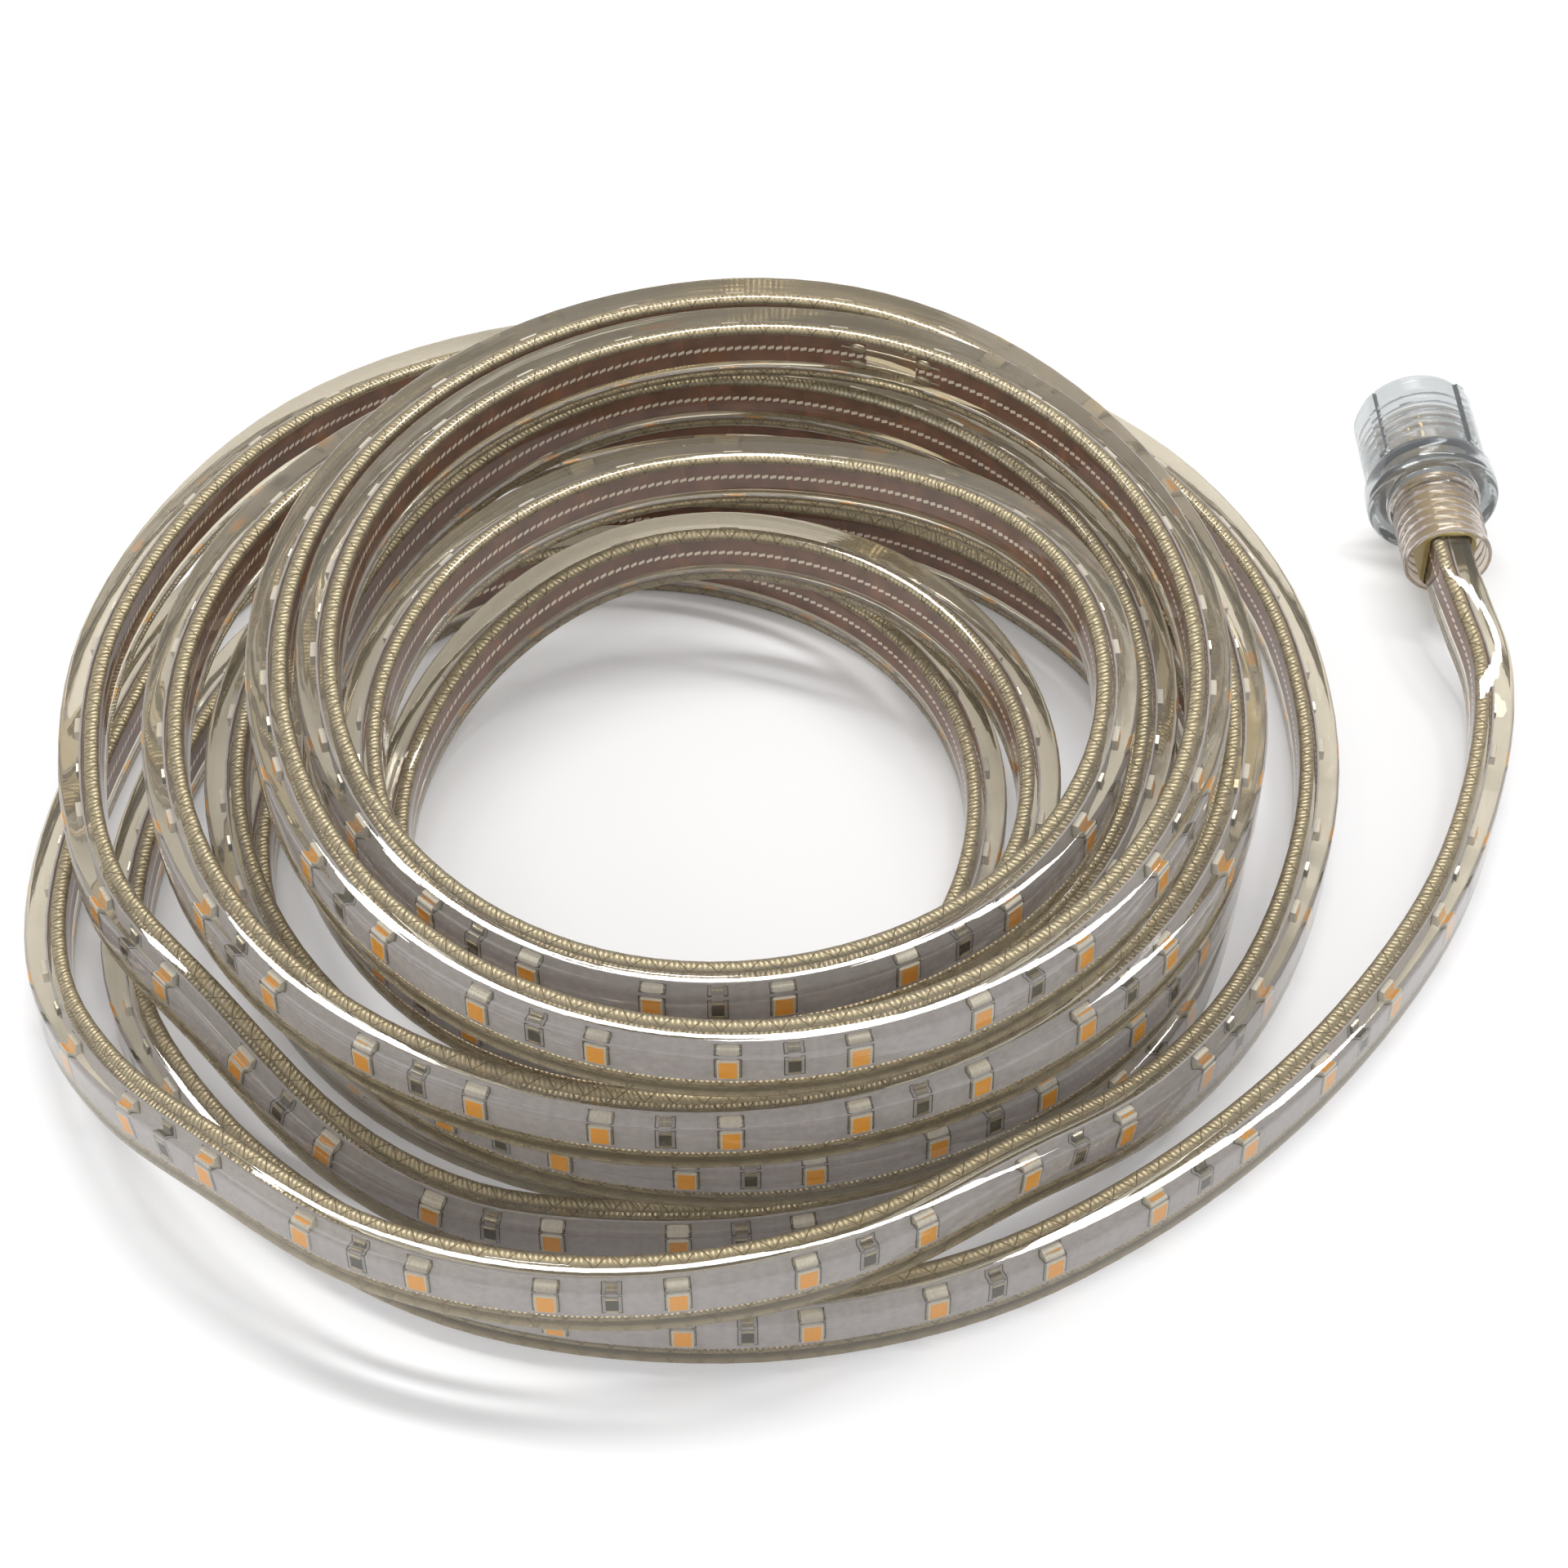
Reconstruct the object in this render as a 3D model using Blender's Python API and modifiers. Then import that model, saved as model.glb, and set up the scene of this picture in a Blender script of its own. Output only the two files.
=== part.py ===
"""A coiled LED strip light standing on its edge: a clear flexible jacket round a circuit strip, with a
cap on the hidden end and a screw-collar connector on the other."""

import math

import bmesh
import bpy
from mathutils import Matrix, Vector

MM = 0.001

# jacket section, standing on its narrow edge
STRIP_H = 10.0
STRIP_T = 6.0
STRIP_CORNER = 0.9
FIT = 0.3
FILM_H = 5.2
FILM_T = 0.4
BORE_H = FILM_H + 2 * FIT
BORE_IN = -1.5
BORE_OUT = 1.3

# the heights of the strip's centre line where it lies in layers
LAY_GAP = 0.85
FLOOR_LEVEL = 5.0
SECOND_LEVEL = FLOOR_LEVEL + STRIP_H + LAY_GAP
THIRD_LEVEL = SECOND_LEVEL + STRIP_H + LAY_GAP
TOP_LEVEL = THIRD_LEVEL + STRIP_H + LAY_GAP

# the loose loops before the coil, from the capped end: right, back and up, in mm from the middle
OUTER = (
    (-10, 75, 5.8), (-36, 72, 5.8), (-61, 63, 5), (-80, 48.5, 5), (-94, 28, 5), (-102, 3, 5),
    (-106, -24, 5), (-103, -46, 6), (-92, -65, 10), (-76, -81, 15.3), (-56, -95, 15.9),
    (-34, -101.5, 15.9), (-12, -101.5, 15.9), (10, -95.5, 15.9), (31, -82.5, 15), (51, -67, 10.5),
    (67, -45, 7.2), (77.5, -17, 5.8), (80, 10, 5), (75, 37, 5), (60.5, 62.5, 5), (37.5, 81.5, 5),
    (8, 92.5, 5), (-24, 94, 6.5), (-54, 83.5, 10), (-78, 64, 13.8), (-94, 39, 15.6),
    (-102.5, 12, 15.9), (-102, -14, 15.9), (-95, -37, 16), (-79, -56.5, 15), (-61, -73.5, 8.5),
    (-42, -83, 5.2), (-20, -86, 5), (2, -84.5, 5), (24, -77.5, 5), (43, -64, 5), (56, -46, 5),
    (63.5, -24, 5),
)

# the coil starts at its right side; each turn gives its back, left, front and right, then their heights
COIL_RIGHT = 65.5
COIL_FRONT = -84.5
COIL_BACK = 54.0
TURNS = (
    (65.5, -81, -83, 65.5, SECOND_LEVEL, SECOND_LEVEL, SECOND_LEVEL, SECOND_LEVEL),
    (65.5, -88.5, -84.3, 66, THIRD_LEVEL, THIRD_LEVEL, THIRD_LEVEL, THIRD_LEVEL),
    (65.5, -72.7, -81, 59.7, TOP_LEVEL, TOP_LEVEL, TOP_LEVEL, TOP_LEVEL),
    (58.5, -65.9, -71.5, 46.5, TOP_LEVEL, TOP_LEVEL, TOP_LEVEL, TOP_LEVEL),
    (41, -60, -72, 53.5, THIRD_LEVEL, THIRD_LEVEL, THIRD_LEVEL, THIRD_LEVEL),
    (59, -70.5, -65.5, 37, THIRD_LEVEL, SECOND_LEVEL, SECOND_LEVEL, SECOND_LEVEL),
    (35.5, -58, -62, 30, SECOND_LEVEL, FLOOR_LEVEL, FLOOR_LEVEL, FLOOR_LEVEL),
    (44, -78, -76.5, 57.3, FLOOR_LEVEL, FLOOR_LEVEL, FLOOR_LEVEL, FLOOR_LEVEL),
)
TURN_STEPS = 24

# the last loop, out under the others and round the front to the connector
TAIL = (
    (52.5, 16, 5), (39, 35, 5), (19, 48.5, 5), (-6, 54, 5), (-33, 53, 5), (-59, 43.5, 5), (-80, 24, 5),
    (-91, 0, 5), (-95, -26, 5), (-91.5, -49, 5), (-79, -69, 5), (-63, -84, 5), (-44, -94.5, 5),
    (-22, -99.5, 5), (2, -99.5, 5), (26, -93.5, 5), (47, -82, 5), (66, -66.5, 5), (82.5, -48, 5),
    (96, -27, 5), (104.8, -4, 5), (107.8, 14, 6.6), (105.6, 26, 9.4),
)

# the connector lies on the floor on its collar, its axis level
PLUG_PLACE = (104.0, 37.5)
PLUG_AIM = (-1.5, 32.5, 0.0)
STRIP_IN_PLUG = 9.3

CAP_H = STRIP_H + 1.6
CAP_T = STRIP_T + 1.6
CAP_LENGTH = 13.0
CAP_DEPTH = 10.0

INSERT_WALL = 0.8
INSERT_H = STRIP_H + 2 * INSERT_WALL
INSERT_T = STRIP_T + 3 * INSERT_WALL
INSERT_CORNER = 3.0
INSERT_LENGTH = 11.0
BODY_BORE_R = INSERT_H / 2 + 0.4
BODY_SKIN = 0.4
BODY_R = BODY_BORE_R + BODY_SKIN
BODY_THREAD = 0.35
BODY_PITCH = 1.9
BODY_LIP_R = BODY_R + 0.4
BODY_LIP = 1.0
BODY_LAND_R = BODY_R + 0.6
BODY_LAND = 0.4
BODY_WALL = (INSERT_LENGTH + 2 * FIT, INSERT_LENGTH + 2 * FIT + 1.6)
BODY_LENGTH = 29.0
MOUTH_R = BODY_BORE_R - 1.2
CARRIER_R = MOUTH_R - FIT
CARRIER_LENGTH = 8.5
CARRIER = (BODY_WALL[1] + FIT, BODY_WALL[1] + FIT + CARRIER_LENGTH)
PIN_R = 0.6
PIN_OFFSET = 2.5
PIN_REACH = 13.8
PIN = (STRIP_IN_PLUG + 0.7, BODY_WALL[1] + PIN_REACH)

COLLAR_LENGTH = 21.0
COLLAR = (BODY_WALL[0] + 1, BODY_WALL[0] + 1 + COLLAR_LENGTH)
COLLAR_ROOM = 2.3
COLLAR_WALL = 0.8
COLLAR_BORE_R = BODY_R + COLLAR_ROOM
COLLAR_R = COLLAR_BORE_R + COLLAR_WALL
COLLAR_RING = 5.0
COLLAR_RING_R = COLLAR_R + 0.8
COLLAR_EDGE = 0.4
COLLAR_HOLE_R = BODY_LAND_R + 0.08
COLLAR_BACK = 2.3
COLLAR_THREAD = 0.3
COLLAR_PITCH = 2.0
COLLAR_LIP = 1.0
COLLAR_PLAY = 0.6
FLANGE_WIDTH = 1.7
FLANGE_R = COLLAR_BORE_R - COLLAR_PLAY
FLANGE_BACK = COLLAR[0] + COLLAR_BACK + COLLAR_PLAY
FLANGE = (FLANGE_BACK, FLANGE_BACK + FLANGE_WIDTH)
SEAL_WIDTH = 1.8
SEAL_EDGE = 0.4
SEAL = (FLANGE[1] + FIT, FLANGE[1] + FIT + SEAL_WIDTH)
SEAL_R = (BODY_R + FIT, COLLAR_BORE_R - COLLAR_THREAD - 0.2)
RIB_H = 0.7
RIB_SUNK = 0.4
RIB_W = 1.5
RIB_ANGLES = (38, 128, 218, 308)
PLUG_FOOT = (*PLUG_PLACE, COLLAR_RING_R)
ROUND_STEPS = 32


def clear_scene():
    for obj in list(bpy.data.objects):
        bpy.data.objects.remove(obj, do_unlink=True)


def new_collection(name, hidden):
    made = bpy.data.collections.new(name)
    bpy.context.scene.collection.children.link(made)
    made.hide_render = hidden
    return made


def new_material(name, colour, roughness, transmission=0.0, metallic=0.0):
    made = bpy.data.materials.new(name)
    made.use_nodes = True
    shader = made.node_tree.nodes["Principled BSDF"]
    shader.inputs["Base Color"].default_value = (*colour, 1)
    shader.inputs["Roughness"].default_value = roughness
    shader.inputs["Metallic"].default_value = metallic
    shader.inputs["Transmission Weight"].default_value = transmission
    made.diffuse_color = (*colour, 1)
    return made


def add(name, mesh, collection, material=None):
    obj = bpy.data.objects.new(name, mesh)
    collection.objects.link(obj)
    if material:
        mesh.materials.append(material)
    if collection.hide_render:
        obj.hide_render = True
        obj.display_type = "WIRE"
    return obj


def ease(start, end, part):
    return start + (end - start) * (1 - math.cos(math.pi * part)) / 2


def coil_points():
    """The coil as one long spiral whose four sides are eased into each other."""
    across, along, height = [COIL_RIGHT], [COIL_FRONT], [FLOOR_LEVEL]
    for back, left, front, right, *heights in TURNS:
        along += [back, front]
        across += [left, right]
        height += heights
    along.append(COIL_BACK)
    points = []
    for step in range(len(TURNS) * TURN_STEPS + 1):
        quarter = step * 4 / TURN_STEPS
        row = []
        for extremes, at in ((across, quarter / 2), (along, (quarter + 1) / 2), (height, quarter)):
            first = min(int(at), len(extremes) - 2)
            row.append(ease(extremes[first], extremes[first + 1], at - first))
        points.append(tuple(row))
    return points


def smoothed(points, fine):
    """A Catmull-Rom line through the points, with a middle point in each span that fine marks."""
    rows = [Vector(point) for point in points]
    rows = [2 * rows[0] - rows[1], *rows, 2 * rows[-1] - rows[-2]]
    line = []
    for index in range(1, len(rows) - 2):
        line.append(rows[index])
        if fine[index - 1]:
            before, here, there, after = rows[index - 1 : index + 3]
            line.append((9 * (here + there) - before - after) / 16)
    line.append(rows[-2])
    for at in line:
        at.z = max(at.z, FLOOR_LEVEL)
    return line


def plug_axis():
    return Vector(PLUG_AIM).normalized()


def strip_line():
    coil = coil_points()
    foot, axis = Vector(PLUG_FOOT), plug_axis()
    ends = [tuple(foot - 4 * axis), tuple(foot + STRIP_IN_PLUG * axis)]
    points = [*OUTER, *coil, *TAIL, *ends]
    first, last = len(OUTER), len(OUTER) + len(coil) - 2
    fine = [not first <= index <= last for index in range(len(points) - 1)]
    fine[-1] = False
    return smoothed(points, fine)


def sweep(name, line, section, collection, material=None):
    """The section drawn along the line, kept upright, as a closed mesh. It is given as right and up."""
    guide = bpy.data.curves.new(name + "_section", "CURVE")
    spline = guide.splines.new("POLY")
    spline.points.add(len(section) - 1)
    for point, (right, up) in zip(spline.points, section):
        point.co = (right * MM, up * MM, 0, 1)
    spline.use_cyclic_u = True
    guide_object = add(guide.name, guide, collection)
    path = bpy.data.curves.new(name, "CURVE")
    path.dimensions = "3D"
    path.twist_mode = "Z_UP"
    path.bevel_mode = "OBJECT"
    path.bevel_object = guide_object
    path.use_fill_caps = True
    spline = path.splines.new("POLY")
    spline.points.add(len(line) - 1)
    for point, at in zip(spline.points, line):
        point.co = (*(at * MM), 1)
    path_object = add(name + "_path", path, collection)
    graph = bpy.context.evaluated_depsgraph_get()
    mesh = bpy.data.meshes.new_from_object(path_object.evaluated_get(graph))
    for obj in (path_object, guide_object):
        bpy.data.objects.remove(obj, do_unlink=True)
    return add(name, tidy(mesh), collection, material)


def tidy(mesh):
    work = bmesh.new()
    work.from_mesh(mesh)
    bmesh.ops.remove_doubles(work, verts=work.verts, dist=1e-6)
    bmesh.ops.recalc_face_normals(work, faces=work.faces)
    work.to_mesh(mesh)
    work.free()
    mesh.materials.clear()
    return mesh


def stretched(line, extra):
    """The line with both ends carried on straight, so that a cutter passes through."""
    first = line[0] + extra * (line[0] - line[1]).normalized()
    last = line[-1] + extra * (line[-1] - line[-2]).normalized()
    return [first, *line, last]


def block(name, size, centre, collection, material=None, corner=0.0, ends=False):
    """A box whose long edges, or all its edges, are rounded."""
    work = bmesh.new()
    bmesh.ops.create_cube(work, size=1)
    bmesh.ops.scale(work, vec=[side * MM for side in size], verts=work.verts)
    bmesh.ops.translate(work, vec=[at * MM for at in centre], verts=work.verts)
    if corner:
        edges = [
            edge for edge in work.edges
            if ends or abs((edge.verts[0].co - edge.verts[1].co).normalized().z) > 0.9
        ]
        bmesh.ops.bevel(
            work, geom=edges, offset=corner * MM, offset_type="OFFSET", segments=3, profile=0.5,
            affect="EDGES", clamp_overlap=True,
        )
    mesh = bpy.data.meshes.new(name)
    work.to_mesh(mesh)
    work.free()
    return add(name, mesh, collection, material)


def rod(name, radius, start, end, collection, material=None, up=0.0, steps=24):
    work = bmesh.new()
    bmesh.ops.create_cone(
        work, cap_ends=True, segments=steps, radius1=radius * MM, radius2=radius * MM,
        depth=(end - start) * MM,
    )
    bmesh.ops.translate(work, vec=(0, up * MM, (start + end) / 2 * MM), verts=work.verts)
    mesh = bpy.data.meshes.new(name)
    work.to_mesh(mesh)
    work.free()
    return add(name, mesh, collection, material)


def turned(name, profile, collection, material=None):
    """A ring turned round the local Z axis from a closed profile, given as radius and height."""
    mesh = bpy.data.meshes.new(name)
    count = len(profile)
    mesh.from_pydata(
        [(radius * MM, 0, height * MM) for radius, height in profile],
        [(index, (index + 1) % count) for index in range(count)],
        [],
    )
    obj = add(name, mesh, collection, material)
    screw = obj.modifiers.new("turn", "SCREW")
    screw.axis = "Z"
    screw.angle = math.tau
    screw.steps = screw.render_steps = ROUND_STEPS
    screw.use_merge_vertices = True
    screw.merge_threshold = 0.00001
    return obj


def boolean(target, tool, operation):
    made = target.modifiers.new(tool.name, "BOOLEAN")
    made.operation = operation
    made.solver = "EXACT"
    made.object = tool


def frame_at(foot, axis):
    """Local Z along the axis, local Y up."""
    side = Vector((0, 0, 1)).cross(axis).normalized()
    up = axis.cross(side)
    turn = Matrix((side, up, axis)).transposed().to_4x4()
    return Matrix.Translation(Vector(foot) * MM) @ turn


def strip_section(height, inside, outside, corner=0.0):
    half = height / 2
    if not corner:
        return ((inside, -half), (outside, -half), (outside, half), (inside, half))
    return (
        (inside + corner, -half), (outside - corner, -half), (outside, corner - half),
        (outside, half - corner), (outside - corner, half), (inside + corner, half),
        (inside, half - corner), (inside, corner - half),
    )


def build_strip(parts, tools, looks):
    line = strip_line()
    half = STRIP_T / 2
    jacket = sweep(
        "pvc_jacket", line, strip_section(STRIP_H, -half, half, STRIP_CORNER), parts, looks["pvc"]
    )
    bore = sweep(
        "jacket_bore", stretched(line, 2), strip_section(BORE_H, BORE_IN, BORE_OUT), tools
    )
    boolean(jacket, bore, "DIFFERENCE")
    film_back = BORE_IN + FIT
    sweep(
        "circuit_strip", line, strip_section(FILM_H, film_back, film_back + FILM_T), parts,
        looks["circuit"],
    )
    return line


def build_cap(line, parts, tools, looks):
    axis = (line[0] - line[1]).normalized()
    place = frame_at(line[0], axis)
    middle = CAP_LENGTH / 2 - CAP_DEPTH + FIT
    cap = block(
        "end_cap", (CAP_T, CAP_H, CAP_LENGTH), (0, 0, middle), parts, looks["moulding"], 1.4, True
    )
    socket = block(
        "cap_socket", (STRIP_T + 2 * FIT, STRIP_H + 2 * FIT, CAP_DEPTH + 2),
        (0, 0, FIT - (CAP_DEPTH + 2) / 2), tools,
    )
    cap.matrix_world = place
    socket.matrix_world = place
    boolean(cap, socket, "DIFFERENCE")


def body_profile():
    outer = [(BODY_R, BODY_LENGTH), (BODY_R, FLANGE[1]), (FLANGE_R, FLANGE[1]), (FLANGE_R, FLANGE[0])]
    land = COLLAR[0] - BODY_LAND
    outer += [(BODY_LAND_R, FLANGE[0]), (BODY_LAND_R, land), (BODY_R, land)]
    ridge = land - FIT
    while ridge > 1.5 * BODY_PITCH:
        outer += [
            (BODY_R, ridge), (BODY_R + BODY_THREAD, ridge - BODY_PITCH * 0.35),
            (BODY_R, ridge - BODY_PITCH * 0.7),
        ]
        ridge -= BODY_PITCH
    outer += [
        (BODY_R, 1.4 * BODY_LIP), (BODY_LIP_R, BODY_LIP), (BODY_LIP_R, BODY_LIP / 3),
        (BODY_LIP_R - BODY_LIP / 3, 0),
    ]
    inner = [(BODY_BORE_R, 0), (BODY_BORE_R, BODY_WALL[0])]
    return outer, inner


def build_plug(parts, tools, looks):
    place = frame_at(PLUG_FOOT, plug_axis())
    outer, inner = body_profile()
    made = [
        turned(
            "plug_body", [*outer, *inner, (MOUTH_R, BODY_WALL[0]), (MOUTH_R, BODY_LENGTH)], parts,
            looks["moulding"],
        )
    ]
    wall = rod("body_wall", MOUTH_R + 0.6, *BODY_WALL, tools, steps=ROUND_STEPS)
    boolean(made[0], wall, "UNION")
    made.append(wall)
    insert = block(
        "strip_insert", (INSERT_T, INSERT_H, INSERT_LENGTH), (0, 0, INSERT_LENGTH / 2 + 0.1), parts,
        looks["insert"], INSERT_CORNER,
    )
    socket = block(
        "insert_socket", (STRIP_T + 2 * FIT, STRIP_H + 2 * FIT, STRIP_IN_PLUG + FIT + 2),
        (0, 0, (STRIP_IN_PLUG + FIT - 2) / 2), tools,
    )
    boolean(insert, socket, "DIFFERENCE")
    carrier = rod("contact_carrier", CARRIER_R, *CARRIER, parts, looks["insert"], steps=32)
    made += [insert, socket, carrier]
    for label, up in (("upper", PIN_OFFSET), ("lower", -PIN_OFFSET)):
        made.append(rod("contact_pin_" + label, PIN_R, *PIN, parts, looks["pin"], up, 16))
        hole = rod("pin_hole_" + label, PIN_R + FIT, PIN[0] - 1, PIN[1] - 2, tools, up=up, steps=16)
        made.append(hole)
        for target in (made[0], insert, carrier):
            boolean(target, hole, "DIFFERENCE")
    made.append(
        turned(
            "seal_ring",
            [
                (SEAL_R[1], SEAL[1] - SEAL_EDGE), (SEAL_R[1], SEAL[0] + SEAL_EDGE),
                (SEAL_R[1] - SEAL_EDGE, SEAL[0]), (SEAL_R[0], SEAL[0]), (SEAL_R[0], SEAL[1]),
                (SEAL_R[1] - SEAL_EDGE, SEAL[1]),
            ],
            parts, looks["seal"],
        )
    )
    for obj in made:
        obj.matrix_world = place


def collar_profile():
    back, front = COLLAR
    ring = back + COLLAR_RING
    lip = COLLAR_R - COLLAR_LIP / 2
    outer = [
        (lip, front), (lip, front - COLLAR_LIP), (COLLAR_R, front - COLLAR_LIP),
        (COLLAR_R, ring + 1.5 * COLLAR_EDGE), (COLLAR_RING_R, ring),
        (COLLAR_RING_R, back + 3 * COLLAR_EDGE), (COLLAR_RING_R - COLLAR_EDGE, back + COLLAR_EDGE),
        (COLLAR_RING_R - 3 * COLLAR_EDGE, back), (COLLAR_HOLE_R, back),
        (COLLAR_HOLE_R, back + COLLAR_BACK), (COLLAR_BORE_R, back + COLLAR_BACK),
    ]
    ridge = SEAL[1] + COLLAR_PITCH
    while ridge < front - 1.5 * COLLAR_PITCH:
        outer += [
            (COLLAR_BORE_R, ridge), (COLLAR_BORE_R - COLLAR_THREAD, ridge + COLLAR_PITCH * 0.3),
            (COLLAR_BORE_R, ridge + COLLAR_PITCH * 0.6),
        ]
        ridge += COLLAR_PITCH
    return [*outer, (COLLAR_BORE_R, front)]


def build_collar(parts, tools, looks):
    place = frame_at(PLUG_FOOT, plug_axis())
    collar = turned("screw_collar", collar_profile(), parts, looks["collar"])
    made = [collar]
    start, end = COLLAR[0] + COLLAR_RING - 1, COLLAR[1] - 1.6 * COLLAR_LIP
    inner, outer = COLLAR_R - RIB_SUNK, COLLAR_R + RIB_H
    for number, angle in enumerate(RIB_ANGLES, 1):
        rib = block(
            f"collar_rib_{number}", (outer - inner, RIB_W, end - start),
            ((outer + inner) / 2, 0, (start + end) / 2), tools,
        )
        rib.data.transform(Matrix.Rotation(math.radians(angle), 4, "Z"))
        boolean(collar, rib, "UNION")
        made.append(rib)
    for obj in made:
        obj.matrix_world = place


def stand_on_origin(collections):
    """Parents everything to one empty, placed so that the middle of the foot is the origin."""
    bpy.context.view_layer.update()
    graph = bpy.context.evaluated_depsgraph_get()
    corners = []
    for obj in collections[0].objects:
        seen = obj.evaluated_get(graph)
        corners += [seen.matrix_world @ vertex.co for vertex in seen.to_mesh().vertices]
        seen.to_mesh_clear()
    low = Vector(min(point[axis] for point in corners) for axis in range(3))
    high = Vector(max(point[axis] for point in corners) for axis in range(3))
    root = bpy.data.objects.new("strip_light_root", None)
    collections[0].objects.link(root)
    root.location = (-(low.x + high.x) / 2, -(low.y + high.y) / 2, -low.z)
    for collection in collections:
        for obj in collection.objects:
            if obj != root:
                obj.parent = root


def main():
    clear_scene()
    parts = new_collection("led_strip_light", False)
    tools = new_collection("cutters", True)
    looks = {
        "pvc": new_material("clear_pvc_jacket", (0.80, 0.76, 0.62), 0.12, 0.85),
        "circuit": new_material("circuit_laminate", (0.78, 0.74, 0.64), 0.45),
        "moulding": new_material("clear_beige_moulding", (0.72, 0.66, 0.54), 0.2, 0.7),
        "insert": new_material("amber_resin_insert", (0.62, 0.53, 0.28), 0.3, 0.5),
        "collar": new_material("clear_nylon_collar", (0.80, 0.81, 0.80), 0.18, 0.75),
        "seal": new_material("dark_rubber_seal", (0.05, 0.06, 0.08), 0.6),
        "pin": new_material("plated_brass_pin", (0.75, 0.70, 0.55), 0.25, metallic=1.0),
    }
    line = build_strip(parts, tools, looks)
    build_cap(line, parts, tools, looks)
    build_plug(parts, tools, looks)
    build_collar(parts, tools, looks)
    stand_on_origin((parts, tools))


main()
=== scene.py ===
"""The dressed model of a coiled LED strip light: a clear flexible jacket with its circuit, lamps and
supply wires inside, a cap on its hidden end and a screw-collar connector on the other."""

import math

import bmesh
import bpy
from mathutils import Matrix, Vector


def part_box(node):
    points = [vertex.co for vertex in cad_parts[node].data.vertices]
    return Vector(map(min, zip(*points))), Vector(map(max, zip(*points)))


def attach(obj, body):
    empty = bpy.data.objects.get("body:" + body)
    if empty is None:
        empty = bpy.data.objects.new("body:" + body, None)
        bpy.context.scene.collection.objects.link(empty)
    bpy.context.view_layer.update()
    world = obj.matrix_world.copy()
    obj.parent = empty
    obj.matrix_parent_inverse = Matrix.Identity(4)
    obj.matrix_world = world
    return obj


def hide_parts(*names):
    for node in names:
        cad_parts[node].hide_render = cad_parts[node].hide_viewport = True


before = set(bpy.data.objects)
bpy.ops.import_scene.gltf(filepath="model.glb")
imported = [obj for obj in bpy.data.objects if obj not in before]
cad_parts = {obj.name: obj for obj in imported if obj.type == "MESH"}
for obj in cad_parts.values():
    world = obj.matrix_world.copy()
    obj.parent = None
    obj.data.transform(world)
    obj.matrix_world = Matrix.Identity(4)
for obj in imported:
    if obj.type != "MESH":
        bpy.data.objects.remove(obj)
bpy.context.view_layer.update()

bl_info = {
    "name": "Coiled LED strip light",
    "version": (1, 0, 0),
    "blender": (4, 5, 0),
    "location": "3D View > Sidebar > Strip light",
    "description": "Builds the jacket, circuit, lamps, wires, end cap and connector of a coiled strip light",
    "category": "Object",
}

MM = 0.001

STRIP_BODY = "strip"
COLLAR_BODY = "collar"

# the strip's route, in mm from the middle of the photograph: right, back and up. The sizes after it are
# in mm too, up to the camera's
FLOOR_LEVEL = 5.0
SECOND_LEVEL = 15.85
THIRD_LEVEL = 26.7
TOP_LEVEL = 37.55
OUTER = (
    (-10, 75, 5.8), (-36, 72, 5.8), (-61, 63, 5), (-80, 48.5, 5), (-94, 28, 5), (-102, 3, 5),
    (-106, -24, 5), (-103, -46, 6), (-92, -65, 10), (-76, -81, 15.3), (-56, -95, 15.9),
    (-34, -101.5, 15.9), (-12, -101.5, 15.9), (10, -95.5, 15.9), (31, -82.5, 15), (51, -67, 10.5),
    (67, -45, 7.2), (77.5, -17, 5.8), (80, 10, 5), (75, 37, 5), (60.5, 62.5, 5), (37.5, 81.5, 5),
    (8, 92.5, 5), (-24, 94, 6.5), (-54, 83.5, 10), (-78, 64, 13.8), (-94, 39, 15.6),
    (-102.5, 12, 15.9), (-102, -14, 15.9), (-95, -37, 16), (-79, -56.5, 15), (-61, -73.5, 8.5),
    (-42, -83, 5.2), (-20, -86, 5), (2, -84.5, 5), (24, -77.5, 5), (43, -64, 5), (56, -46, 5),
    (63.5, -24, 5),
)
COIL_RIGHT = 65.5
COIL_FRONT = -84.5
COIL_BACK = 54.0
TURNS = (
    (65.5, -81, -83, 65.5, SECOND_LEVEL, SECOND_LEVEL, SECOND_LEVEL, SECOND_LEVEL),
    (65.5, -88.5, -84.3, 66, THIRD_LEVEL, THIRD_LEVEL, THIRD_LEVEL, THIRD_LEVEL),
    (65.5, -72.7, -81, 59.7, TOP_LEVEL, TOP_LEVEL, TOP_LEVEL, TOP_LEVEL),
    (58.5, -65.9, -71.5, 46.5, TOP_LEVEL, TOP_LEVEL, TOP_LEVEL, TOP_LEVEL),
    (41, -60, -72, 53.5, THIRD_LEVEL, THIRD_LEVEL, THIRD_LEVEL, THIRD_LEVEL),
    (59, -70.5, -65.5, 37, THIRD_LEVEL, SECOND_LEVEL, SECOND_LEVEL, SECOND_LEVEL),
    (35.5, -58, -62, 30, SECOND_LEVEL, FLOOR_LEVEL, FLOOR_LEVEL, FLOOR_LEVEL),
    (44, -78, -76.5, 57.3, FLOOR_LEVEL, FLOOR_LEVEL, FLOOR_LEVEL, FLOOR_LEVEL),
)
TURN_STEPS = 24
TAIL = (
    (52.5, 16, 5), (39, 35, 5), (19, 48.5, 5), (-6, 54, 5), (-33, 53, 5), (-59, 43.5, 5), (-80, 24, 5),
    (-91, 0, 5), (-95, -26, 5), (-91.5, -49, 5), (-79, -69, 5), (-63, -84, 5), (-44, -94.5, 5),
    (-22, -99.5, 5), (2, -99.5, 5), (26, -93.5, 5), (47, -82, 5), (66, -66.5, 5), (82.5, -48, 5),
    (96, -27, 5), (104.8, -4, 5), (107.8, 14, 6.6), (105.6, 26, 9.4),
)
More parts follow.
